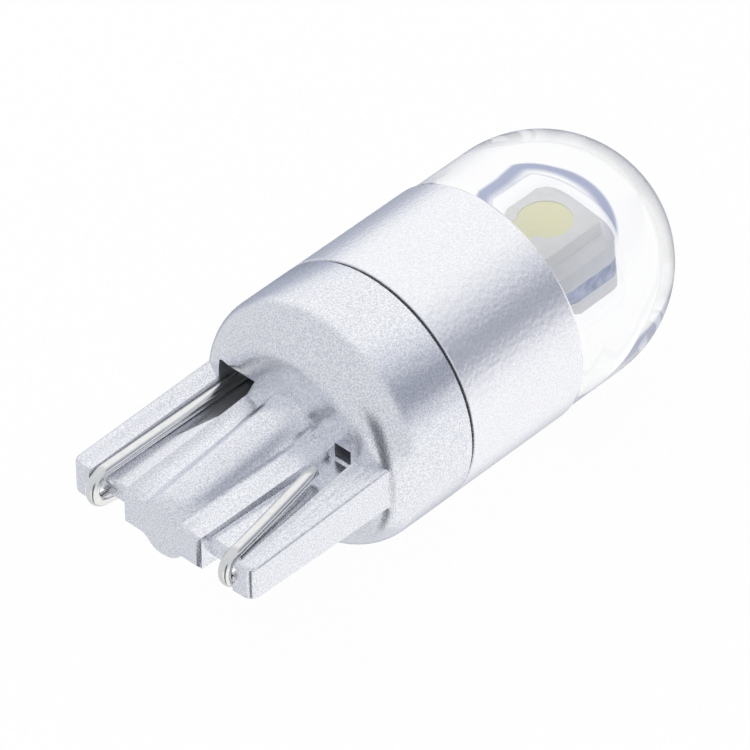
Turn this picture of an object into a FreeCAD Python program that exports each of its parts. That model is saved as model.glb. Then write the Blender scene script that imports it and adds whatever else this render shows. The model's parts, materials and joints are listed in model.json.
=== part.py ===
import FreeCAD, Part
import math
import os

# A small wedge base bulb with two light emitting diodes, lying on its side.
# The model is drawn with x along the axis: x is 0 at the face of the cup that the wedge stands on, and grows
# towards the dome. y runs along the wedge's wide face and z is normal to it. Lengths are millimetres.

# Round body
body_radius = 5.1
shoulder_radius = 1.7
cup_length = 4.4
cup_floor = 1.2
spigot_wall = 0.52
seam_gap = 0.06
edge_break = 0.1
spigot_length = 1.2
glue_dots = 3
glue_dot_length = 0.5
glue_dot_width = 0.9
glue_depth = 0.15

# Sleeve
sleeve_length = 5.9
sleeve_wall = 0.75
spigot_clearance = 0.03
partition_thickness = 1.2

# Lens
lens_setback = 0.1
lens_cylinder_length = 3.3
lens_spigot_length = 1.1
lens_back_gap = 0.1
pocket_gap = 0.15

# Wedge: the block in the middle, the two rails and the webs between them
base_length = 6.7
root_depth = 0.9
wedge_half_thickness = 0.93
wedge_tip_half_thickness = 0.73
block_half_width = 2.14
block_tip_half_width = 1.94
lobe_height = 2.04
lobe_tip_height = 1.22
lobe_radius = 1.1
lobe_tip_radius = 1.0
valley_radius = 0.35
block_end_bevel = 0.14
rail_setback = 0.56
rail_width_exit = 0.94
rail_width_free = 1.27
rail_width_free_tip = 0.71
rail_corner_radius = 0.45
rail_edge_round = 0.14
web_top = 0.3
web_thickness = 0.78
web_recess = 0.5

# Wire holes in the cup's floor
exit_hole_height = 1.82
exit_hole_lean = 0.45
free_hole_low = 0.6
free_hole_high = 1.25
free_hole_width = 0.8

# Contact wires
wire_diameter = 0.5
wire_rail_clearance = 0.01
wire_web_clearance = 0.01
wire_overhang = 0.35
wire_inside = 2.3
free_end_x = -1.43
free_end_shift = 0.74
free_end_lift = 0.25

# Sealing resin behind the holes
seal_thickness = 0.45

# Driver board and what stands on it
board_edge_clearance = 0.08
driver_thickness = 0.6
driver_start_gap = 0.05
standoff = 0.02
rectifier_size = (2.6, 3.6, 1.2)
lead_width = 0.45
lead_thickness = 0.15
lead_reach = 0.65
rectifier_lead_pitch = 2.0
regulator_size = (1.6, 2.9, 1.1)
regulator_setback = 1.5
regulator_lead_pitch = 1.9
case_bevel = 0.15
sense_size = (1.6, 0.8, 0.45)
capacitor_size = (1.6, 0.8, 0.8)
bleed_size = (1.6, 0.8, 0.45)
chip_border = 0.3
solder_radius = 0.62
solder_top_radius = 0.32
solder_height = 0.7

# Light engine: two boards on a metal plate
stack_gap = 0.1
stack_tail = 1.0
stack_reach = 2.3
stack_half_width = 2.1
stack_corner_radius = 1.2
led_board_thickness = 0.85
core_thickness = 0.8
slot_gap = 0.15
link_width = 0.4
link_thickness = 0.1
link_inset = 0.3
link_foot = 0.55
led_setback = 0.25
led_side = 3.0
led_height = 0.6
led_mark = 0.3
phosphor_radius = 1.05
phosphor_floor_radius = 0.85
phosphor_depth = 0.3
phosphor_recess = 0.03

# Places that follow from the sizes
sleeve_start = cup_length + seam_gap
sleeve_end = cup_length + sleeve_length
sleeve_bore_radius = body_radius - sleeve_wall
spigot_radius = sleeve_bore_radius - spigot_clearance
cup_bore_radius = spigot_radius - spigot_wall
cup_end = cup_length + spigot_length
lens_radius = body_radius - lens_setback
lens_start = sleeve_end + seam_gap
lens_back = sleeve_end - lens_spigot_length
dome_center = sleeve_end + lens_cylinder_length
dome_tip = dome_center + lens_radius
partition_end = lens_back - lens_back_gap
partition_x = partition_end - partition_thickness
rail_outer = body_radius - rail_setback
rail_inner_exit = rail_outer - rail_width_exit
rail_inner_free = rail_outer - rail_width_free
rail_inner_free_tip = rail_outer - rail_width_free_tip
wire_radius = wire_diameter / 2
wire_y = rail_inner_exit - wire_radius - wire_rail_clearance
wire_exit_z = web_top + wire_radius + wire_web_clearance
web_bottom = web_top - web_thickness
wire_return_z = web_bottom - wire_radius - wire_web_clearance
free_end_y = wire_y - free_end_shift
stack_start = partition_x - stack_tail
stack_end = dome_center + stack_reach
stack_top = core_thickness / 2 + led_board_thickness
stack_corner_reach = stack_corner_radius + math.hypot(stack_reach - stack_corner_radius,
                                                      stack_half_width - stack_corner_radius)
pocket_radius = math.hypot(stack_corner_reach, stack_top) + pocket_gap
pocket_tip = dome_center + pocket_radius
led_x = dome_center - led_setback
link_y = stack_half_width - link_inset
seal_end = cup_floor + seal_thickness
driver_start = seal_end + driver_start_gap
driver_end = stack_start - stack_gap
driver_top = driver_thickness / 2
driver_half_width = cup_bore_radius - board_edge_clearance
rectifier_x = (driver_start + driver_end) / 2
regulator_x = driver_end - regulator_setback
sense_x = driver_start + chip_border + sense_size[0] / 2
sense_y = -(regulator_size[1] / 2 + chip_border + sense_size[1] / 2)
capacitor_x = sense_x + chip_border + (sense_size[0] + capacitor_size[0]) / 2
capacitor_y = -(regulator_size[1] / 2 + chip_border + capacitor_size[1] / 2)
bleed_x = driver_start + chip_border + bleed_size[0] / 2
bleed_y = -(rectifier_size[1] / 2 + chip_border + bleed_size[1] / 2)
origin_x = (dome_tip - base_length - wire_overhang) / 2


def point(x, y, z):
    return FreeCAD.Vector(x, y, z)


X_AXIS = point(1, 0, 0)
Y_AXIS = point(0, 1, 0)
Z_AXIS = point(0, 0, 1)
CENTER = point(0, 0, 0)


def along(start, end, x):
    """Value at x of a size that runs from start at the cup's face to end at the wedge's tip."""
    return start + (end - start) * -x / base_length


def turned(shape):
    """The same piece turned half a turn about the bulb's axis."""
    copy = shape.copy()
    copy.rotate(CENTER, X_AXIS, 180)
    return copy


def disc(x_low, x_high, radius):
    return Part.makeCylinder(radius, x_high - x_low, point(x_low, 0, 0), X_AXIS)


def block(x_low, x_high, y_low, y_high, z_low, z_high):
    return Part.makeBox(x_high - x_low, y_high - y_low, z_high - z_low, point(x_low, y_low, z_low))


def outline(points):
    return Part.makePolygon(points + points[:1])


def revolved(edges):
    """Solid of revolution about the x axis from a closed outline in the plane y = 0."""
    return Part.Face(Part.Wire(edges)).revolve(CENTER, X_AXIS, 360)


def line(a, b):
    return Part.LineSegment(a, b).toShape()


def arc(a, middle, b):
    return Part.Arc(a, middle, b).toShape()


def edges_along(shape, axis):
    """The straight edges of a shape that run along one axis."""
    found = []
    for edge in shape.Edges:
        if isinstance(edge.Curve, Part.Line) and abs(edge.tangentAt(edge.FirstParameter).dot(axis)) > 0.98:
            found.append(edge)
    return found


def cup():
    """Round cup: flat face, large shoulder, straight wall, and the spigot that the sleeve slides over."""
    corner = math.sqrt(0.5) * shoulder_radius
    flat_radius = body_radius - shoulder_radius
    profile = [
        line(point(0, 0, 0), point(0, 0, flat_radius)),
        arc(point(0, 0, flat_radius),
            point(shoulder_radius - corner, 0, flat_radius + corner),
            point(shoulder_radius, 0, body_radius)),
        line(point(shoulder_radius, 0, body_radius), point(cup_length - edge_break, 0, body_radius)),
        line(point(cup_length - edge_break, 0, body_radius), point(cup_length, 0, body_radius - edge_break)),
        line(point(cup_length, 0, body_radius - edge_break), point(cup_length, 0, spigot_radius)),
        line(point(cup_length, 0, spigot_radius), point(cup_end, 0, spigot_radius)),
        line(point(cup_end, 0, spigot_radius), point(cup_end, 0, cup_bore_radius)),
        line(point(cup_end, 0, cup_bore_radius), point(cup_floor, 0, cup_bore_radius)),
        line(point(cup_floor, 0, cup_bore_radius), point(cup_floor, 0, 0)),
        line(point(cup_floor, 0, 0), point(0, 0, 0)),
    ]
    solid = revolved(profile)
    return solid.cut(glue(cup_length + spigot_length / 2, body_radius))


def lobe():
    """Round lobe on top of the wings: a cone whose axis falls towards the wedge's tip."""
    root_radius = along(lobe_radius, lobe_tip_radius, root_depth)
    start = point(root_depth, 0, along(lobe_height, lobe_tip_height, root_depth) - root_radius)
    run = point(-base_length, 0, lobe_tip_height - lobe_tip_radius) - start
    spare = root_radius / run.Length
    cone = Part.makeCone(root_radius + spare * (root_radius - lobe_tip_radius),
                         lobe_tip_radius - spare * (root_radius - lobe_tip_radius),
                         run.Length * (1 + 2 * spare), start - run * spare, run)
    return cone.common(block(-base_length, root_depth, -body_radius, body_radius, 0, body_radius))


def middle_block():
    """Middle of the wedge: two flat wings, a tapered round lobe above and below, and hollows between them."""
    root_half = along(block_half_width, block_tip_half_width, root_depth)
    plan = outline([
        point(root_depth, -root_half, -body_radius),
        point(root_depth, root_half, -body_radius),
        point(-base_length, block_tip_half_width, -body_radius),
        point(-base_length, -block_tip_half_width, -body_radius),
    ])
    wings = Part.Face(plan).extrude(point(0, 0, 2 * body_radius)).common(wedge_envelope())
    solid = wings.fuse([lobe(), turned(lobe())]).removeSplitter()
    feet = []
    for edge in solid.Edges:
        if edge.BoundBox.XLength > base_length / 2 and not isinstance(edge.Curve, Part.Line):
            feet.append(edge)
    solid = solid.makeFillet(valley_radius, feet)
    tip_edges = [edge for edge in solid.Edges if edge.BoundBox.XMax < -base_length + edge_break]
    return solid.makeChamfer(block_end_bevel, tip_edges)


def wedge_envelope():
    """The tapered slab that the flat parts of the wedge lie in."""
    root_half = along(wedge_half_thickness, wedge_tip_half_thickness, root_depth)
    corners = [
        point(root_depth, -body_radius, -root_half),
        point(root_depth, -body_radius, root_half),
        point(-base_length, -body_radius, wedge_tip_half_thickness),
        point(-base_length, -body_radius, -wedge_tip_half_thickness),
    ]
    return Part.Face(outline(corners)).extrude(point(0, 2 * body_radius, 0))


def rail_half(inner_root, inner_tip, z_low, z_high):
    """Upper or lower half of the rail: its inner wall differs on the two sides of the web."""
    tip = -base_length
    bend = rail_corner_radius * (1 - math.sqrt(0.5))
    start_y = inner_root - (inner_tip - inner_root) * root_depth / base_length
    plan = [
        line(point(root_depth, start_y, z_low), point(root_depth, rail_outer, z_low)),
        line(point(root_depth, rail_outer, z_low), point(tip + rail_corner_radius, rail_outer, z_low)),
        arc(point(tip + rail_corner_radius, rail_outer, z_low),
            point(tip + bend, rail_outer - bend, z_low),
            point(tip, rail_outer - rail_corner_radius, z_low)),
        line(point(tip, rail_outer - rail_corner_radius, z_low), point(tip, inner_tip, z_low)),
        line(point(tip, inner_tip, z_low), point(root_depth, start_y, z_low)),
    ]
    return Part.Face(Part.Wire(plan)).extrude(point(0, 0, z_high - z_low))


def rail():
    upper = rail_half(rail_inner_exit, rail_inner_exit, 0, body_radius)
    lower = rail_half(rail_inner_free, rail_inner_free_tip, -body_radius, 0)
    whole = upper.fuse(lower).removeSplitter().common(wedge_envelope())
    outer_edges = []
    for edge in whole.Edges:
        box = edge.BoundBox
        level = abs((box.ZMin + box.ZMax) / 2)
        if level > wedge_tip_half_thickness / 2 and box.YMin > rail_outer - edge_break and box.XLength > 1:
            outer_edges.append(edge)
    return whole.makeFillet(rail_edge_round, outer_edges)


def web():
    """Thin plate between the block and the rail that the wire runs along and folds round."""
    tip = web_recess - base_length
    plate = block(tip, root_depth, block_tip_half_width / 2, (rail_outer + rail_inner_exit) / 2,
                  web_bottom, web_top)
    ends = [edge for edge in edges_along(plate, Y_AXIS) if edge.BoundBox.XMax < tip + edge_break]
    return plate.makeFillet(web_thickness / 4, ends)


def exit_hole():
    """Hole above the web that a wire comes out of: upright outer side, inner side that leans to the lobe."""
    outer = rail_inner_exit - wire_rail_clearance
    inner = block_half_width
    low = web_top
    plan = outline([
        point(-root_depth, inner, low),
        point(-root_depth, outer, low),
        point(-root_depth, outer, exit_hole_height - edge_break),
        point(-root_depth, outer - 2 * edge_break, exit_hole_height),
        point(-root_depth, inner - exit_hole_lean, exit_hole_height),
        point(-root_depth, inner, wedge_half_thickness),
    ])
    return Part.Face(plan).extrude(point(2 * root_depth + cup_floor, 0, 0))


def free_hole():
    """Small hole over the other side of the web, where the core pin of the mould came through."""
    low = -free_hole_high
    high = -free_hole_low
    middle = (block_half_width + rail_inner_free) / 2
    return block(-root_depth, cup_floor + root_depth, middle - free_hole_width / 2,
                 middle + free_hole_width / 2, low, high)


def wedge_base():
    solid = cup()
    for side in (rail(), turned(rail()), web(), turned(web()), middle_block()):
        solid = solid.fuse(side)
    keep = middle_block().fuse([rail(), turned(rail())])
    for hole in (exit_hole(), free_hole(), turned(exit_hole()), turned(free_hole())):
        solid = solid.cut(hole.cut(keep))
    return solid.removeSplitter()


def glue(x, outer):
    """Dots of glue round the axis at x, from the bottom of their notches in the spigot out to a radius."""
    half = glue_dot_length / 2
    ring = disc(x - half, x + half, outer).cut(disc(x - half, x + half, spigot_radius - glue_depth))
    bars = []
    for index in range(glue_dots):
        bar = block(x - half, x + half, -glue_dot_width / 2, glue_dot_width / 2, 0, body_radius)
        bar.rotate(CENTER, X_AXIS, 360 * index / glue_dots)
        bars.append(bar)
    return ring.common(Part.makeCompound(bars))


def stack_slot(margin):
    """Room for the light engine, wider than it by the margin all round."""
    half = stack_half_width + margin
    return block(stack_start, lens_back, -half, half, -stack_top - margin, stack_top + margin)


def heat_sink_sleeve():
    """Thick tube with a partition across it, which carries the light engine and takes its heat."""
    outer = body_radius
    inner = outer - edge_break
    profile = [
        line(point(sleeve_start, 0, sleeve_bore_radius), point(sleeve_start, 0, inner)),
        line(point(sleeve_start, 0, inner), point(sleeve_start + edge_break, 0, outer)),
        line(point(sleeve_start + edge_break, 0, outer), point(sleeve_end - edge_break, 0, outer)),
        line(point(sleeve_end - edge_break, 0, outer), point(sleeve_end, 0, inner)),
        line(point(sleeve_end, 0, inner), point(sleeve_end, 0, sleeve_bore_radius)),
        line(point(sleeve_end, 0, sleeve_bore_radius), point(partition_end, 0, sleeve_bore_radius)),
        line(point(partition_end, 0, sleeve_bore_radius), point(partition_end, 0, 0)),
        line(point(partition_end, 0, 0), point(partition_x, 0, 0)),
        line(point(partition_x, 0, 0), point(partition_x, 0, sleeve_bore_radius)),
        line(point(partition_x, 0, sleeve_bore_radius), point(sleeve_start, 0, sleeve_bore_radius)),
    ]
    return revolved(profile).cut(stack_slot(slot_gap))


def thermal_adhesive():
    fill = stack_slot(slot_gap).common(disc(partition_x, partition_end, body_radius))
    return fill.cut(stack_slot(0))


def dome_lens():
    """Clear lens: spigot, straight wall and dome, all thick, and a round-ended bore for the light engine."""
    half = math.sqrt(0.5)
    profile = [
        line(point(lens_back, 0, pocket_radius), point(lens_back, 0, spigot_radius)),
        line(point(lens_back, 0, spigot_radius), point(lens_start, 0, spigot_radius)),
        line(point(lens_start, 0, spigot_radius), point(lens_start, 0, lens_radius)),
        line(point(lens_start, 0, lens_radius), point(dome_center, 0, lens_radius)),
        arc(point(dome_center, 0, lens_radius),
            point(dome_center + half * lens_radius, 0, half * lens_radius), point(dome_tip, 0, 0)),
        line(point(dome_tip, 0, 0), point(pocket_tip, 0, 0)),
        arc(point(pocket_tip, 0, 0),
            point(dome_center + half * pocket_radius, 0, half * pocket_radius),
            point(dome_center, 0, pocket_radius)),
        line(point(dome_center, 0, pocket_radius), point(lens_back, 0, pocket_radius)),
    ]
    solid = revolved(profile)
    return solid.cut(glue(sleeve_end - lens_spigot_length / 2, body_radius))


def contact_wire():
    """Wire that leaves the hole on top, folds loosely round the web's end and comes back underneath."""
    bend = (wire_exit_z - wire_return_z) / 2
    bend_x = -base_length - wire_overhang + wire_radius + bend
    middle_z = (wire_exit_z + wire_return_z) / 2
    circle = Part.makeCircle(wire_radius, point(bend_x, wire_y, wire_exit_z), X_AXIS)
    section = Part.Face(Part.Wire([circle]))
    straight = section.extrude(point(cup_floor + wire_inside - bend_x, 0, 0))
    fold = section.revolve(point(bend_x, wire_y, middle_z), -Y_AXIS, 180)
    start = point(bend_x, wire_y, wire_return_z)
    run = point(free_end_x, free_end_y, wire_return_z - free_end_lift) - start
    free_end = Part.makeCylinder(wire_radius, run.Length, start, run)
    elbow = Part.makeSphere(wire_radius, start)
    return straight.fuse([fold, elbow, free_end]).removeSplitter()


def base_seal():
    """Resin poured over the cup's floor, round the wires."""
    solid = disc(cup_floor, seal_end, cup_bore_radius)
    return solid.cut([contact_wire(), turned(contact_wire())])


def driver_board():
    return block(driver_start, driver_end, -driver_half_width, driver_half_width, -driver_top, driver_top)


def chip(size, x, y):
    """Plain chip that stands on the driver board."""
    length, width, height = size
    low = driver_top + standoff
    return block(x - length / 2, x + length / 2, y - width / 2, y + width / 2, low, low + height)


def moulded_case(size, x):
    """Moulded case on the board's centre line, with its top edges bevelled."""
    body = chip(size, x, 0)
    top_edges = [edge for edge in body.Edges if edge.BoundBox.ZMin > driver_top + size[2] / 2]
    return body.makeChamfer(case_bevel, top_edges)


def leads(size, x, pitch):
    """Bent leads on the two sides of a packaged piece, two a side."""
    length, _, height = size
    knee = driver_top + standoff + height / 2
    pieces = []
    for side in (1, -1):
        near = x + side * length / 2
        far = near + side * lead_reach
        bend = near + side * lead_reach / 2
        under = bend - side * lead_thickness
        plan = [
            point(near, 0, knee),
            point(bend, 0, knee),
            point(bend, 0, driver_top + lead_thickness),
            point(far, 0, driver_top + lead_thickness),
            point(far, 0, driver_top),
            point(under, 0, driver_top),
            point(under, 0, knee - lead_thickness),
            point(near, 0, knee - lead_thickness),
        ]
        for y in (-pitch / 2, pitch / 2):
            lead = Part.Face(outline(plan)).extrude(point(0, lead_width, 0))
            lead.translate(point(0, y - lead_width / 2, 0))
            pieces.append(lead)
    return Part.makeCompound(pieces)


def solder_joint():
    """Cone of solder over the wire's end on the driver board."""
    x = cup_floor + wire_inside
    cone = Part.makeCone(solder_radius, solder_top_radius, solder_height,
                         point(x, wire_y - wire_radius, driver_top), Z_AXIS)
    cone = cone.common(disc(cup_floor, driver_end, driver_half_width))
    return cone.cut(contact_wire())


def link_strip():
    """Bent strip from the driver board up to the LED board."""
    riser = (driver_end + stack_start) / 2
    plan = [
        point(riser - link_foot, link_y, driver_top),
        point(riser + link_thickness / 2, link_y, driver_top),
        point(riser + link_thickness / 2, link_y, stack_top),
        point(riser + link_foot, link_y, stack_top),
        point(riser + link_foot, link_y, stack_top + link_thickness),
        point(riser - link_thickness / 2, link_y, stack_top + link_thickness),
        point(riser - link_thickness / 2, link_y, driver_top + link_thickness),
        point(riser - link_foot, link_y, driver_top + link_thickness),
    ]
    strip = Part.Face(outline(plan)).extrude(point(0, link_width, 0))
    strip.translate(point(0, -link_width / 2, 0))
    return strip


def tongue(z_low, z_high):
    """Layer of the light engine: a strip with two round corners at the dome's end."""
    body = block(stack_start, stack_end, -stack_half_width, stack_half_width, z_low, z_high)
    corners = [edge for edge in edges_along(body, Z_AXIS) if edge.BoundBox.XMin > stack_end - edge_break]
    return body.makeFillet(stack_corner_radius, corners)


def phosphor():
    top = stack_top + led_height - phosphor_recess
    return Part.makeCone(phosphor_floor_radius, phosphor_radius, phosphor_depth,
                         point(led_x, 0, top - phosphor_depth), Z_AXIS)


def led_package():
    """Square package with one corner cut off as a mark, and a round well for the phosphor."""
    half = led_side / 2
    top = stack_top + led_height
    body = block(led_x - half, led_x + half, -half, half, stack_top, top)
    marked = [edge for edge in edges_along(body, Z_AXIS) if edge.BoundBox.XMin > led_x and edge.BoundBox.YMin > 0]
    body = body.makeChamfer(led_mark, marked)
    well = Part.makeCylinder(phosphor_radius, 1, point(led_x, 0, top - phosphor_recess), Z_AXIS)
    return body.cut(phosphor()).cut(well)


contact = contact_wire()
pieces = {
    "wedge_base": wedge_base(),
    "heat_sink_sleeve": heat_sink_sleeve(),
    "dome_lens": dome_lens(),
    "contact_wire_left": contact,
    "contact_wire_right": turned(contact),
    "base_seal": base_seal(),
    "base_adhesive": glue(cup_length + spigot_length / 2, sleeve_bore_radius),
    "lens_adhesive": glue(sleeve_end - lens_spigot_length / 2, sleeve_bore_radius),
    "driver_board": driver_board(),
    "rectifier_bridge": turned(moulded_case(rectifier_size, rectifier_x)),
    "rectifier_leads": turned(leads(rectifier_size, rectifier_x, rectifier_lead_pitch)),
    "current_regulator": moulded_case(regulator_size, regulator_x),
    "regulator_leads": leads(regulator_size, regulator_x, regulator_lead_pitch),
    "sense_resistor": chip(sense_size, sense_x, sense_y),
    "smoothing_capacitor": chip(capacitor_size, capacitor_x, capacitor_y),
    "bleed_resistor": turned(chip(bleed_size, bleed_x, bleed_y)),
    "solder_joint_left": solder_joint(),
    "solder_joint_right": turned(solder_joint()),
    "link_strip_upper": link_strip(),
    "link_strip_lower": turned(link_strip()),
    "thermal_adhesive": thermal_adhesive(),
    "core_plate": tongue(-core_thickness / 2, core_thickness / 2),
    "led_board_upper": tongue(core_thickness / 2, stack_top),
    "led_board_lower": turned(tongue(core_thickness / 2, stack_top)),
    "led_package_upper": led_package(),
    "led_package_lower": turned(led_package()),
    "phosphor_upper": phosphor(),
    "phosphor_lower": turned(phosphor()),
}

os.makedirs("parts", exist_ok=True)
for name, shape in pieces.items():
    shape.translate(point(-origin_x, 0, body_radius))
    shape.exportStep("parts/" + name + ".step")
    print(name, len(shape.Solids), round(shape.Volume, 3), shape.isValid())
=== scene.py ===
import json
import math
import bmesh
import bpy
from mathutils import Matrix, Vector, noise


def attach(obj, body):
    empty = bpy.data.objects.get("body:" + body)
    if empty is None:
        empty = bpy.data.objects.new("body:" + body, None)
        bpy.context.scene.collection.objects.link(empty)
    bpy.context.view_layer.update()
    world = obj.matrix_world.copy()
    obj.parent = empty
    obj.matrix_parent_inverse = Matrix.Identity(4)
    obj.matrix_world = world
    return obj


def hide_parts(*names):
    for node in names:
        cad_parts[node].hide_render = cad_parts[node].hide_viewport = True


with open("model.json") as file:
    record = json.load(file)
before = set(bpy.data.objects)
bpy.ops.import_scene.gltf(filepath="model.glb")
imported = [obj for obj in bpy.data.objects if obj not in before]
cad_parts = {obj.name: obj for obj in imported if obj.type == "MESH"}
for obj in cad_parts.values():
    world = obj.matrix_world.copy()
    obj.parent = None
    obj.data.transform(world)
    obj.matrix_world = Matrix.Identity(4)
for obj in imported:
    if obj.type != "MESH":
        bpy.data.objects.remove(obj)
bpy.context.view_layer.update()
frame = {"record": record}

# Wedge base: one moulding, cup and plug together, sprayed with fine silver paint. The copy of its solid gets
# the small rounded edges that paint and the mould leave, and the paint's fine speckle.
MM = 0.001
BODY_RADIUS = 5.1 * MM
AXIS_Z = BODY_RADIUS
FLANGE_X = -5.775 * MM
SOFT_EDGE = 0.07 * MM


def new_material(name):
    material = bpy.data.materials.new(name)
    material.use_nodes = True
    tree = material.node_tree
    shader = tree.nodes["Principled BSDF"]
    return material, tree, shader


def node(tree, kind, **values):
    made = tree.nodes.new(kind)
    for key, value in values.items():
        if key in made.inputs:
            made.inputs[key].default_value = value
        else:
            setattr(made, key, value)
    return made


def object_noise(tree, scale, detail=2.0, roughness=0.5):
    place = tree.nodes.new("ShaderNodeTexCoord")
    grain = node(tree, "ShaderNodeTexNoise", Scale=scale, Detail=detail, Roughness=roughness)
    tree.links.new(place.outputs["Object"], grain.inputs["Vector"])
    return grain.outputs["Fac"]


def ramp(tree, source, low, high, start=0.3, end=0.7):
    colours = tree.nodes.new("ShaderNodeValToRGB")
    colours.color_ramp.elements[0].position = start
    colours.color_ramp.elements[0].color = (*low, 1)
    colours.color_ramp.elements[1].position = end
    colours.color_ramp.elements[1].color = (*high, 1)
    tree.links.new(source, colours.inputs["Fac"])
    return colours.outputs["Color"]


def bump(tree, shader, source, strength, distance):
    lift = node(tree, "ShaderNodeBump", Strength=strength, Distance=distance)
    tree.links.new(source, lift.inputs["Height"])
    tree.links.new(lift.outputs["Normal"], shader.inputs["Normal"])


def silver_paint():
    material, tree, shader = new_material("silver_paint")
    speckle = object_noise(tree, 15000.0, 2.0, 0.6)
    colour = ramp(tree, speckle, (0.70, 0.72, 0.79), (0.96, 0.97, 1.0), 0.4, 0.6)
    tree.links.new(colour, shader.inputs["Base Color"])
    shader.inputs["Metallic"].default_value = 0.92
    shader.inputs["Roughness"].default_value = 0.21
    bump(tree, shader, speckle, 0.4, 0.00001)
    return material


def softened_copy(name, source_name, width):
    """Copy of a solid's mesh with flat faces joined and its sharp edges rounded."""
    mesh = bpy.data.objects[source_name].data.copy()
    piece = bpy.data.objects.new(name, mesh)
    bpy.context.scene.collection.objects.link(piece)
    form = bmesh.new()
    form.from_mesh(mesh)
    bmesh.ops.remove_doubles(form, verts=form.verts, dist=0.0000005)
    bmesh.ops.dissolve_limit(form, angle_limit=0.01, verts=form.verts, edges=form.edges)
    form.to_mesh(mesh)
    form.free()
    edges = piece.modifiers.new("edges", "BEVEL")
    edges.width = width
    edges.segments = 2
    edges.limit_method = "ANGLE"
    edges.angle_limit = 0.6
    edges.harden_normals = True
    for face in mesh.polygons:
        face.use_smooth = True
    return piece


base = softened_copy("painted_base", "wedge_base", SOFT_EDGE)
base.data.materials.clear()
base.data.materials.append(silver_paint())
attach(base, "root")
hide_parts("wedge_base")

# Sleeve: a turned aluminium tube with a partition across it, blasted to a coarse satin grain outside. It slides
# over the cup's spigot, and the lens goes into its other end.
SLEEVE_START = FLANGE_X + 4.46 * MM
SLEEVE_END = FLANGE_X + 10.3 * MM
SLEEVE_BORE = 4.35 * MM
SLEEVE_STEPS = 600
SLEEVE_ROW = 0.055 * MM
SLEEVE_EDGE = 0.03 * MM
PARTITION_START = FLANGE_X + 7.9 * MM
PARTITION_END = FLANGE_X + 9.1 * MM
GRAIN_PITCH = 0.15 * MM
GRAIN_HEIGHT = 0.007 * MM


def spin(name, profile, steps, closed=False):
    """Surface turned about the bulb's axis from points (x, radius)."""
    form = bmesh.new()
    rings = []
    for x, radius in profile:
        if radius < 1e-7:
            rings.append([form.verts.new((x, 0, AXIS_Z))])
            continue
        ring = []
        for index in range(steps):
            turn = 2 * math.pi * index / steps
            ring.append(form.verts.new((x, radius * math.sin(turn), AXIS_Z + radius * math.cos(turn))))
        rings.append(ring)
    pairs = list(zip(rings, rings[1:]))
    if closed:
        pairs.append((rings[-1], rings[0]))
    for near, far in pairs:
        for index in range(steps):
            after = (index + 1) % steps
            if len(near) == 1:
                corners = [near[0], far[after], far[index]]
            elif len(far) == 1:
                corners = [near[index], near[after], far[0]]
            else:
                corners = [near[index], near[after], far[after], far[index]]
            form.faces.new(corners).smooth = True
    bmesh.ops.recalc_face_normals(form, faces=form.faces)
    mesh = bpy.data.meshes.new(name)
    form.to_mesh(mesh)
    form.free()
    piece = bpy.data.objects.new(name, mesh)
    bpy.context.scene.collection.objects.link(piece)
    return piece


def corner(x, radius, away_x, away_radius, size, steps=4):
    """Points of a rounded corner at (x, radius); away_x and away_radius point along its two sides, -1 or 1."""
    points = []
    for index in range(steps + 1):
        turn = math.pi / 2 * index / steps
        points.append((x + away_x * size * (1 - math.sin(turn)),
                       radius + away_radius * size * (1 - math.cos(turn))))
    return points


def straight(start, end, radius, pitch):
    count = max(1, round(abs(end - start) / pitch))
    return [(start + (end - start) * index / count, radius) for index in range(1, count)]


def mark_sharp(mesh, angle):
    form = bmesh.new()
    form.from_mesh(mesh)
    for edge in form.edges:
        if len(edge.link_faces) == 2 and edge.calc_face_angle(0) > angle:
            edge.smooth = False
    form.to_mesh(mesh)
    form.free()


profile = [(PARTITION_START, 0), (PARTITION_START, SLEEVE_BORE), (SLEEVE_START, SLEEVE_BORE)]
profile += list(reversed(corner(SLEEVE_START, BODY_RADIUS, 1, -1, SLEEVE_EDGE)))
profile += straight(SLEEVE_START + SLEEVE_EDGE, SLEEVE_END - SLEEVE_EDGE, BODY_RADIUS, SLEEVE_ROW)
profile += corner(SLEEVE_END, BODY_RADIUS, -1, -1, SLEEVE_EDGE)
profile += [(SLEEVE_END, SLEEVE_BORE), (PARTITION_END, SLEEVE_BORE), (PARTITION_END, 0)]
sleeve = spin("blasted_sleeve", profile, SLEEVE_STEPS)
for vertex in sleeve.data.vertices:
    offset = Vector((0, vertex.co.y, vertex.co.z - AXIS_Z))
    if offset.length > BODY_RADIUS - SLEEVE_EDGE / 2:
        lift = noise.noise(vertex.co / GRAIN_PITCH) + 0.5 * noise.noise(vertex.co / GRAIN_PITCH * 2.1)
        vertex.co += offset.normalized() * (lift - 1) * GRAIN_HEIGHT
mark_sharp(sleeve.data, 0.6)


def blasted_aluminium():
    material, tree, shader = new_material("blasted_aluminium")
    fine = object_noise(tree, 12000.0, 2.0, 0.6)
    colour = ramp(tree, fine, (0.86, 0.87, 0.92), (0.98, 0.98, 1.0), 0.4, 0.6)
    tree.links.new(colour, shader.inputs["Base Color"])
    shader.inputs["Metallic"].default_value = 0.95
    shader.inputs["Roughness"].default_value = 0.26
    bump(tree, shader, fine, 0.35, 0.00001)
    return material


sleeve.data.materials.append(blasted_aluminium())
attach(sleeve, "root")
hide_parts("heat_sink_sleeve")

# Contact wires: tinned copper, half a millimetre thick. Each comes out of its hole, folds loosely round the
# end of the web and comes back on the other side, where it is cut off.
WIRE_RADIUS = 0.25 * MM
WIRE_Y = 3.34 * MM
WIRE_OUT_Z = 0.56 * MM
WIRE_BACK_Z = -0.74 * MM
WIRE_FOLD_X = -6.15 * MM
WIRE_INSIDE_X = 3.5 * MM
WIRE_TIP = (-1.43 * MM, 2.6 * MM, -0.99 * MM)


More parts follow.
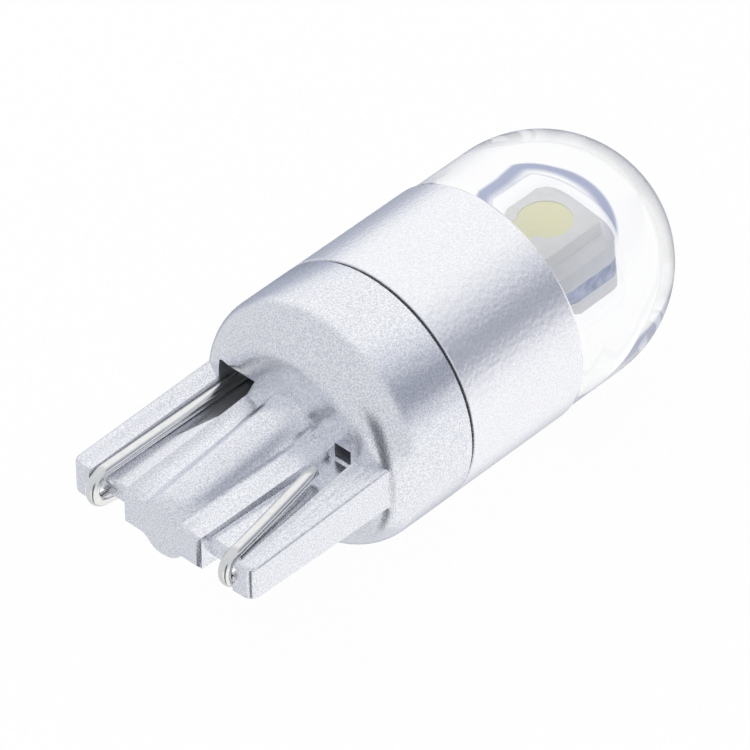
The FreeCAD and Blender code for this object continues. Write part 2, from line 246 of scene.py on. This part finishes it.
def tube(name, path, radius, steps=32):
    """Round wire along points, with slightly rounded cut ends."""
    form = bmesh.new()
    rings = []
    side = Vector((0, 1, 0))
    last = len(path) - 1
    for index, point in enumerate(path):
        run = (path[min(index + 1, last)] - path[max(index - 1, 0)]).normalized()
        side = (side - run * side.dot(run)).normalized()
        up = run.cross(side)
        size = radius * (0.9 if index in (0, last) else 1)
        rings.append([form.verts.new(point + side * math.cos(2 * math.pi * k / steps) * size
                                     + up * math.sin(2 * math.pi * k / steps) * size) for k in range(steps)])
    for near, far in zip(rings, rings[1:]):
        for index in range(steps):
            after = (index + 1) % steps
            form.faces.new([near[index], near[after], far[after], far[index]]).smooth = True
    form.faces.new(rings[0])
    form.faces.new(rings[-1])
    bmesh.ops.recalc_face_normals(form, faces=form.faces)
    mesh = bpy.data.meshes.new(name)
    form.to_mesh(mesh)
    form.free()
    piece = bpy.data.objects.new(name, mesh)
    bpy.context.scene.collection.objects.link(piece)
    return piece


def tinned_wire():
    material, tree, shader = new_material("tinned_wire")
    streaks = object_noise(tree, 4000.0, 2.0, 0.5)
    colour = ramp(tree, streaks, (0.80, 0.80, 0.79), (0.88, 0.88, 0.87))
    tree.links.new(colour, shader.inputs["Base Color"])
    shader.inputs["Metallic"].default_value = 1.0
    shader.inputs["Roughness"].default_value = 0.16
    bump(tree, shader, streaks, 0.06, 0.00001)
    return material


WIRE_METAL = tinned_wire()
for side, name in ((1, "left"), (-1, "right")):
    fold = (WIRE_OUT_Z - WIRE_BACK_Z) / 2
    path = [Vector((WIRE_INSIDE_X - 0.5 * MM * index, WIRE_Y, WIRE_OUT_Z)) for index in range(19)]
    for index in range(17):
        turn = math.pi * index / 16
        path.append(Vector((WIRE_FOLD_X - fold * math.sin(turn), WIRE_Y,
                            (WIRE_OUT_Z + WIRE_BACK_Z) / 2 + fold * math.cos(turn))))
    bend = path[-1]
    tip = Vector(WIRE_TIP)
    for index in range(1, 12):
        share = index / 11
        eased = share + 0.12 * (share ** 2 - share)
        path.append(Vector((bend.x + (tip.x - bend.x) * share, bend.y + (tip.y - bend.y) * eased,
                            bend.z + (tip.z - bend.z) * eased)))
    path.append(path[-1] + (path[-1] - path[-2]).normalized() * 0.03 * MM)
    path = [Vector((FLANGE_X + p.x, side * p.y, AXIS_Z + side * p.z)) for p in path]
    wire = tube("folded_wire_" + name, path, WIRE_RADIUS)
    mark_sharp(wire.data, 0.9)
    wire.data.materials.append(WIRE_METAL)
    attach(wire, "root")
    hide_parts("contact_wire_" + name)

# Lens: one clear moulding, spigot, straight wall and dome, polished inside and out. Its thick wall leaves a
# round-ended bore for the light engine, and glue dots hold its spigot in the sleeve.
LENS_BACK = FLANGE_X + 9.2 * MM
LENS_START = FLANGE_X + 10.36 * MM
DOME_CENTER = FLANGE_X + 13.6 * MM
LENS_RADIUS = 5.0 * MM
LENS_BORE = 3.05 * MM
LENS_STEPS = 192
SPIGOT_RADIUS = 4.32 * MM
LENS_EDGE = 0.05 * MM


def dome_points(radius, steps):
    """Quarter circle from the straight wall to the tip, for the dome or for the bore's round end."""
    points = []
    for index in range(steps + 1):
        turn = math.pi / 2 * index / steps
        points.append((DOME_CENTER + radius * math.sin(turn), radius * math.cos(turn) if index < steps else 0))
    return points


profile = [(LENS_BACK, LENS_BORE), (LENS_BACK, SPIGOT_RADIUS), (LENS_START, SPIGOT_RADIUS)]
profile += list(reversed(corner(LENS_START, LENS_RADIUS, 1, -1, LENS_EDGE)))
profile += straight(LENS_START + LENS_EDGE, DOME_CENTER, LENS_RADIUS, 0.3 * MM)
profile += dome_points(LENS_RADIUS, 60)
lens = spin("clear_dome", profile, LENS_STEPS)
bore = spin("bore", list(reversed(dome_points(LENS_BORE, 48))) + [(LENS_BACK, LENS_BORE)], LENS_STEPS)
form = bmesh.new()
form.from_mesh(lens.data)
form.from_mesh(bore.data)
bmesh.ops.remove_doubles(form, verts=form.verts, dist=0.0001 * MM)
bmesh.ops.recalc_face_normals(form, faces=form.faces)
form.to_mesh(lens.data)
form.free()
bpy.data.objects.remove(bore)
mark_sharp(lens.data, 0.5)


def clear_plastic():
    material, tree, shader = new_material("clear_plastic")
    shader.inputs["Base Color"].default_value = (0.99, 0.993, 1.0, 1)
    shader.inputs["Roughness"].default_value = 0.0
    shader.inputs["IOR"].default_value = 1.49
    shader.inputs["Transmission Weight"].default_value = 1.0
    return material


lens.data.materials.append(clear_plastic())
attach(lens, "root")
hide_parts("dome_lens")

# Light engine and driver: two white boards on a metal plate, a square package with a round phosphor on each,
# and the small driver board behind them. They keep the shapes of their solids.


def board_white():
    material, tree, shader = new_material("board_white")
    mottle = object_noise(tree, 2500.0)
    colour = ramp(tree, mottle, (0.90, 0.91, 0.94), (0.95, 0.96, 0.97))
    tree.links.new(colour, shader.inputs["Base Color"])
    shader.inputs["Roughness"].default_value = 0.4
    bump(tree, shader, mottle, 0.1, 0.00002)
    return material


def plain_finish(name, low, high, metallic, roughness, scale=3000.0):
    material, tree, shader = new_material(name)
    mottle = object_noise(tree, scale)
    tree.links.new(ramp(tree, mottle, low, high), shader.inputs["Base Color"])
    shader.inputs["Metallic"].default_value = metallic
    shader.inputs["Roughness"].default_value = roughness
    bump(tree, shader, mottle, 0.1, 0.00002)
    return material


FINISHES = {
    "board_white": board_white(),
    "core_metal": plain_finish("core_metal", (0.20, 0.25, 0.42), (0.48, 0.53, 0.70), 0.7, 0.3),
    "package_white": plain_finish("package_white", (0.92, 0.92, 0.92), (0.96, 0.96, 0.95), 0.0, 0.35),
    "phosphor": plain_finish("phosphor", (0.97, 0.95, 0.60), (0.98, 0.96, 0.68), 0.0, 0.4),
    "seal_resin": plain_finish("seal_resin", (0.05, 0.06, 0.05), (0.09, 0.10, 0.09), 0.0, 0.35),
    "circuit_board": plain_finish("circuit_board", (0.08, 0.28, 0.16), (0.12, 0.36, 0.20), 0.0, 0.4),
    "package_black": plain_finish("package_black", (0.04, 0.04, 0.04), (0.07, 0.07, 0.07), 0.0, 0.5),
    "ceramic_chip": plain_finish("ceramic_chip", (0.50, 0.40, 0.29), (0.60, 0.48, 0.35), 0.0, 0.5),
    "solder": plain_finish("solder", (0.72, 0.72, 0.71), (0.82, 0.82, 0.81), 1.0, 0.25),
    "clear_glue": plain_finish("clear_glue", (0.80, 0.80, 0.76), (0.88, 0.88, 0.84), 0.0, 0.3),
    "tinned_wire": WIRE_METAL,
}
for part in frame["record"]["subparts"]:
    name, slot = part["node"], part["material_slot"]
    solid = bpy.data.objects.get(name)
    if solid is None or slot not in FINISHES or name.startswith("contact_wire"):
        continue
    solid.data.materials.clear()
    solid.data.materials.append(FINISHES[slot])

# Studio: a plain white floor and sweep, a grey room in front, one soft lamp above that isn't reflected, and the
# camera that looks down at the plug's end. The surround is given by direction, in degrees round the bulb's axis.
FLOOR_SIZE = 2.0
AMBIENT = 0.80
FLOOR_GLOW = 0.97
LAMP_PLACE = (-0.03, 0.12, 0.14)
LAMP_SIZE = (0.10, 0.10)
LAMP_POWER = 0.06
FRONT_ROOM = (0.73, 0.74, 0.76)
DARK_STAND = (0.10, 0.11, 0.13)
THROUGH_HORIZON = (0.38, 0.42, 0.58)
SWEEP_STOPS = ((-180, (0.92, 0.92, 0.94)), (-141, (0.34, 0.37, 0.45)), (-100, (0.42, 0.45, 0.54)),
               (-80, (0.90, 0.91, 0.94)), (-68, (1.0, 1.0, 1.0)), (10, (1.0, 1.0, 1.0)),
               (35, (0.70, 0.72, 0.77)), (58, (0.30, 0.32, 0.39)), (72, (0.36, 0.38, 0.45)),
               (94, (0.95, 0.95, 0.97)), (180, (1.0, 1.0, 1.0)))


def white_floor():
    material, tree, shader = new_material("white_floor")
    shader.inputs["Base Color"].default_value = (0.9, 0.9, 0.9, 1)
    shader.inputs["Roughness"].default_value = 0.9
    glow = node(tree, "ShaderNodeEmission", Strength=1.0)
    rays = tree.nodes.new("ShaderNodeLightPath")
    seen = node(tree, "ShaderNodeMath", operation="MAXIMUM")
    through = node(tree, "ShaderNodeMath", operation="MAXIMUM")
    share = node(tree, "ShaderNodeMath", operation="MULTIPLY")
    share.inputs[1].default_value = FLOOR_GLOW
    tree.links.new(rays.outputs["Is Camera Ray"], seen.inputs[0])
    tree.links.new(rays.outputs["Is Glossy Ray"], seen.inputs[1])
    tree.links.new(seen.outputs[0], through.inputs[0])
    tree.links.new(rays.outputs["Is Transmission Ray"], through.inputs[1])
    tree.links.new(through.outputs[0], share.inputs[0])
    mix = tree.nodes.new("ShaderNodeMixShader")
    tree.links.new(share.outputs[0], mix.inputs[0])
    tree.links.new(shader.outputs[0], mix.inputs[1])
    tree.links.new(glow.outputs[0], mix.inputs[2])
    tree.links.new(mix.outputs[0], tree.nodes["Material Output"].inputs["Surface"])
    return material


form = bmesh.new()
bmesh.ops.create_grid(form, x_segments=4, y_segments=4, size=FLOOR_SIZE / 2)
mesh = bpy.data.meshes.new("floor")
form.to_mesh(mesh)
form.free()
floor = bpy.data.objects.new("floor", mesh)
bpy.context.scene.collection.objects.link(floor)
mesh.materials.append(white_floor())
floor.visible_glossy = False


def between(tree, source, start, end, low=0.0, high=1.0):
    """Value that goes from low to high while the source goes from start to end."""
    scale = node(tree, "ShaderNodeMapRange", interpolation_type="SMOOTHSTEP")
    scale.inputs["From Min"].default_value = start
    scale.inputs["From Max"].default_value = end
    scale.inputs["To Min"].default_value = low
    scale.inputs["To Max"].default_value = high
    tree.links.new(source, scale.inputs["Value"])
    return scale.outputs[0]


def multiplied(tree, first, second):
    step = node(tree, "ShaderNodeMath", operation="MULTIPLY")
    tree.links.new(first, step.inputs[0])
    tree.links.new(second, step.inputs[1])
    return step.outputs[0]


def mixed(tree, share, first, second):
    blend = node(tree, "ShaderNodeMix", data_type="RGBA")
    sockets = [socket for socket in blend.inputs if socket.type == "RGBA"]
    tree.links.new(share, blend.inputs[0])
    for socket, colour in zip(sockets, (first, second)):
        if isinstance(colour, tuple):
            socket.default_value = (*colour, 1)
        else:
            tree.links.new(colour, socket)
    return [socket for socket in blend.outputs if socket.type == "RGBA"][0]


def studio_surround(tree):
    """Colour of the studio by direction: white sweep behind, grey room in front, a dim side and a dark stand."""
    place = tree.nodes.new("ShaderNodeTexCoord")
    parts = tree.nodes.new("ShaderNodeSeparateXYZ")
    tree.links.new(place.outputs["Generated"], parts.inputs[0])
    flipped = node(tree, "ShaderNodeMath", operation="MULTIPLY")
    flipped.inputs[1].default_value = -1
    tree.links.new(parts.outputs["Y"], flipped.inputs[0])
    turn = node(tree, "ShaderNodeMath", operation="ARCTAN2")
    tree.links.new(flipped.outputs[0], turn.inputs[0])
    tree.links.new(parts.outputs["Z"], turn.inputs[1])
    share = between(tree, turn.outputs[0], -math.pi, math.pi)
    tree.nodes[-1].interpolation_type = "LINEAR"
    sweep = tree.nodes.new("ShaderNodeValToRGB")
    for place_on_ramp, colour in SWEEP_STOPS:
        stop = sweep.color_ramp.elements.new((place_on_ramp + 180) / 360)
        stop.color = (*colour, 1)
    sweep.color_ramp.elements.remove(sweep.color_ramp.elements[0])
    sweep.color_ramp.elements.remove(sweep.color_ramp.elements[-1])
    tree.links.new(share, sweep.inputs["Fac"])
    front = mixed(tree, between(tree, parts.outputs["X"], 0.42, 0.22), sweep.outputs["Color"], FRONT_ROOM)
    low_side = multiplied(tree, between(tree, parts.outputs["Z"], -0.15, -0.35),
                          between(tree, parts.outputs["Y"], 0.0, -0.25))
    side = mixed(tree, low_side, front, (1.0, 1.0, 1.0))
    azimuth = node(tree, "ShaderNodeMath", operation="ARCTAN2")
    tree.links.new(parts.outputs["Y"], azimuth.inputs[0])
    tree.links.new(parts.outputs["X"], azimuth.inputs[1])
    stand = multiplied(tree, between(tree, azimuth.outputs[0], math.radians(-153), math.radians(-146)),
                       between(tree, azimuth.outputs[0], math.radians(-124), math.radians(-131)))
    stand = multiplied(tree, stand, between(tree, parts.outputs["Z"], 0.35, 0.15))
    return mixed(tree, stand, side, DARK_STAND), parts.outputs["Z"]


def studio_world():
    world = bpy.data.worlds.new("studio")
    world.use_nodes = True
    tree = world.node_tree
    backdrop = tree.nodes["Background"]
    rays = tree.nodes.new("ShaderNodeLightPath")
    seen, height = studio_surround(tree)
    horizon = multiplied(tree, between(tree, height, -0.02, 0.08), between(tree, height, 0.44, 0.2))
    through = mixed(tree, horizon, (1.0, 1.0, 1.0), THROUGH_HORIZON)
    colour = mixed(tree, rays.outputs["Is Glossy Ray"], (AMBIENT, AMBIENT, AMBIENT), seen)
    colour = mixed(tree, rays.outputs["Is Transmission Ray"], colour, through)
    colour = mixed(tree, rays.outputs["Is Camera Ray"], colour, (1.0, 1.0, 1.0))
    tree.links.new(colour, backdrop.inputs["Color"])
    backdrop.inputs["Strength"].default_value = 1.0
    bpy.context.scene.world = world


def lamp(name, place, target, size, power):
    light = bpy.data.lights.new(name, "AREA")
    light.shape = "RECTANGLE"
    light.size, light.size_y = size
    light.energy = power
    holder = bpy.data.objects.new(name, light)
    holder.location = place
    holder.rotation_euler = (Vector(target) - Vector(place)).to_track_quat("-Z", "Y").to_euler()
    holder.visible_glossy = False
    bpy.context.scene.collection.objects.link(holder)


studio_world()
lamp("key", LAMP_PLACE, (0, 0, 0.005), LAMP_SIZE, LAMP_POWER)

AZIMUTH, ELEVATION, ROLL = math.radians(-46), math.radians(41), math.radians(-1)
FOCAL_PIXELS = 7700
DISTANCE = 0.2805
CENTER_PIXEL = (289.3, 440.0)
back = Vector((math.sin(AZIMUTH) * math.cos(ELEVATION), -math.cos(AZIMUTH) * math.cos(ELEVATION),
               math.sin(ELEVATION)))
level_right = Vector((math.cos(AZIMUTH), math.sin(AZIMUTH), 0))
level_up = back.cross(level_right)
right = math.cos(ROLL) * level_right + math.sin(ROLL) * level_up
up = -math.sin(ROLL) * level_right + math.cos(ROLL) * level_up
view_x = (CENTER_PIXEL[0] - 375) * DISTANCE / FOCAL_PIXELS
view_y = (CENTER_PIXEL[1] - 375) * DISTANCE / FOCAL_PIXELS
stand = Vector((FLANGE_X, 0, AXIS_Z)) - view_x * right + view_y * up + DISTANCE * back
lens_data = bpy.data.cameras.new("camera")
lens_data.lens = FOCAL_PIXELS * 36 / 750
lens_data.sensor_width = 36
lens_data.clip_start = 0.01
lens_data.clip_end = 10
camera = bpy.data.objects.new("camera", lens_data)
camera.matrix_world = Matrix(((right.x, up.x, back.x, stand.x), (right.y, up.y, back.y, stand.y),
                              (right.z, up.z, back.z, stand.z), (0, 0, 0, 1)))
bpy.context.scene.collection.objects.link(camera)
bpy.context.scene.camera = camera
bpy.context.scene.view_settings.view_transform = "Standard"
